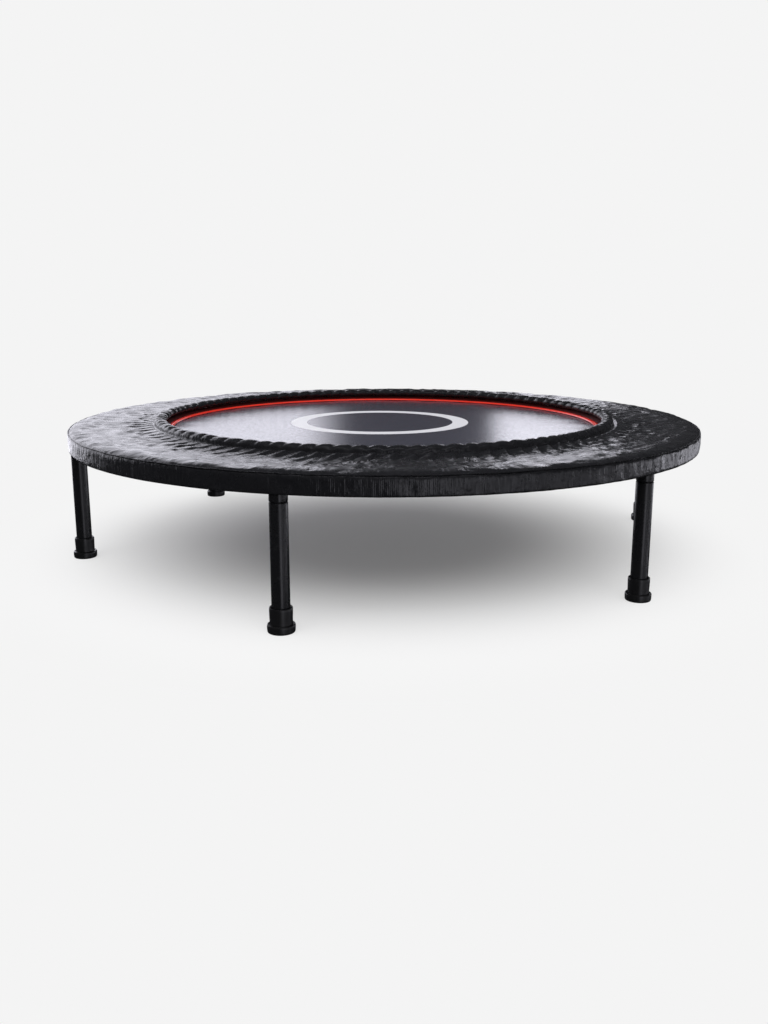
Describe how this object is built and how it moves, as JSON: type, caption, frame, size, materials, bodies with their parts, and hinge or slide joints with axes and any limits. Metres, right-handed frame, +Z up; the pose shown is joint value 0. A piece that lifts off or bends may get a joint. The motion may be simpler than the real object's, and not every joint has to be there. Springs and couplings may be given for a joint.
{
  "type": "mini trampoline",
  "caption": "Round mini trampoline: woven mat on coil springs in a tube ring, gathered fabric cover, red edge binding and screw-on legs with rubber feet.",
  "frame": {"origin": "floor level under the middle of the mat", "axes": "+Z up, along the axis of the round mat; +Y away from the viewer in the reference view"},
  "size_m": [1.016, 1.016, 0.2166],
  "materials": {
    "black_paint": "satin",
    "leg_paint": "satin",
    "nylon": "satin",
    "black_rubber": "matte",
    "spring_steel": "satin",
    "mat_weave": "satin",
    "red_binding": "gloss",
    "cover_fabric": "satin",
    "cover_trim": "satin",
    "elastic": "matte"
  },
  "bodies": {
    "frame": {"frame_ring": "black_paint", "leg_socket_1": "black_paint", "leg_socket_2": "black_paint", "leg_socket_3": "black_paint", "leg_socket_4": "black_paint", "leg_socket_5": "black_paint", "leg_socket_6": "black_paint", "cover": "cover_fabric", "cover_piping": "cover_trim", "inner_elastic": "elastic", "spring_01": "spring_steel", "spring_02": "spring_steel", "spring_03": "spring_steel", "spring_04": "spring_steel", "spring_05": "spring_steel", "spring_06": "spring_steel", "spring_07": "spring_steel", "spring_08": "spring_steel", "spring_09": "spring_steel", "spring_10": "spring_steel", "spring_11": "spring_steel", "spring_12": "spring_steel", "spring_13": "spring_steel", "spring_14": "spring_steel", "spring_15": "spring_steel", "spring_16": "spring_steel", "spring_17": "spring_steel", "spring_18": "spring_steel", "spring_19": "spring_steel", "spring_20": "spring_steel", "spring_21": "spring_steel", "spring_22": "spring_steel", "spring_23": "spring_steel", "spring_24": "spring_steel", "spring_25": "spring_steel", "spring_26": "spring_steel", "spring_27": "spring_steel", "spring_28": "spring_steel", "spring_29": "spring_steel", "spring_30": "spring_steel"},
    "mat": {"mat": "mat_weave", "mat_edge_band": "red_binding"},
    "leg_washer_1": {"leg_washer_1": "nylon"},
    "leg_1": {"leg_tube_1": "leg_paint", "rubber_foot_1": "black_rubber"},
    "leg_washer_2": {"leg_washer_2": "nylon"},
    "leg_2": {"leg_tube_2": "leg_paint", "rubber_foot_2": "black_rubber"},
    "leg_washer_3": {"leg_washer_3": "nylon"},
    "leg_3": {"leg_tube_3": "leg_paint", "rubber_foot_3": "black_rubber"},
    "leg_washer_4": {"leg_washer_4": "nylon"},
    "leg_4": {"leg_tube_4": "leg_paint", "rubber_foot_4": "black_rubber"},
    "leg_washer_5": {"leg_washer_5": "nylon"},
    "leg_5": {"leg_tube_5": "leg_paint", "rubber_foot_5": "black_rubber"},
    "leg_washer_6": {"leg_washer_6": "nylon"},
    "leg_6": {"leg_tube_6": "leg_paint", "rubber_foot_6": "black_rubber"}
  },
  "joints": [
    {"name": "mat_bounce", "type": "slide", "parent": "frame", "child": "mat", "axis": [0, 0, 1], "range_m": [-0.08, 0], "stiffness_N_per_m": 14000, "deforming": ["spring_01", "spring_02", "spring_03", "spring_04", "spring_05", "spring_06", "spring_07", "spring_08", "spring_09", "spring_10", "spring_11", "spring_12", "spring_13", "spring_14", "spring_15", "spring_16", "spring_17", "spring_18", "spring_19", "spring_20", "spring_21", "spring_22", "spring_23", "spring_24", "spring_25", "spring_26", "spring_27", "spring_28", "spring_29", "spring_30"]},
    {"name": "leg_1_out", "type": "slide", "parent": "frame", "child": "leg_washer_1", "axis": [0, 0, -1], "range_m": [0, 0.018]},
    {"name": "leg_1_turn", "type": "hinge", "parent": "leg_washer_1", "child": "leg_1", "pos_m": [0.47736, 0.12791, 0.1662], "axis": [0, 0, -1], "range_deg": [0, 4320]},
    {"name": "leg_2_out", "type": "slide", "parent": "frame", "child": "leg_washer_2", "axis": [0, 0, -1], "range_m": [0, 0.018]},
    {"name": "leg_2_turn", "type": "hinge", "parent": "leg_washer_2", "child": "leg_2", "pos_m": [0.12791, 0.47736, 0.1662], "axis": [0, 0, -1], "range_deg": [0, 4320]},
    {"name": "leg_3_out", "type": "slide", "parent": "frame", "child": "leg_washer_3", "axis": [0, 0, -1], "range_m": [0, 0.018]},
    {"name": "leg_3_turn", "type": "hinge", "parent": "leg_washer_3", "child": "leg_3", "pos_m": [-0.34945, 0.34945, 0.1662], "axis": [0, 0, -1], "range_deg": [0, 4320]},
    {"name": "leg_4_out", "type": "slide", "parent": "frame", "child": "leg_washer_4", "axis": [0, 0, -1], "range_m": [0, 0.018]},
    {"name": "leg_4_turn", "type": "hinge", "parent": "leg_washer_4", "child": "leg_4", "pos_m": [-0.47736, -0.12791, 0.1662], "axis": [0, 0, -1], "range_deg": [0, 4320]},
    {"name": "leg_5_out", "type": "slide", "parent": "frame", "child": "leg_washer_5", "axis": [0, 0, -1], "range_m": [0, 0.018]},
    {"name": "leg_5_turn", "type": "hinge", "parent": "leg_washer_5", "child": "leg_5", "pos_m": [-0.12791, -0.47736, 0.1662], "axis": [0, 0, -1], "range_deg": [0, 4320]},
    {"name": "leg_6_out", "type": "slide", "parent": "frame", "child": "leg_washer_6", "axis": [0, 0, -1], "range_m": [0, 0.018]},
    {"name": "leg_6_turn", "type": "hinge", "parent": "leg_washer_6", "child": "leg_6", "pos_m": [0.34945, -0.34945, 0.1662], "axis": [0, 0, -1], "range_deg": [0, 4320]}
  ],
  "couplings": [
    {"joint": "leg_1_turn", "follows": "leg_1_out", "rad_per_m": 4188.8},
    {"joint": "leg_2_turn", "follows": "leg_2_out", "rad_per_m": 4188.8},
    {"joint": "leg_3_turn", "follows": "leg_3_out", "rad_per_m": 4188.8},
    {"joint": "leg_4_turn", "follows": "leg_4_out", "rad_per_m": 4188.8},
    {"joint": "leg_5_turn", "follows": "leg_5_out", "rad_per_m": 4188.8},
    {"joint": "leg_6_turn", "follows": "leg_6_out", "rad_per_m": 4188.8}
  ]
}
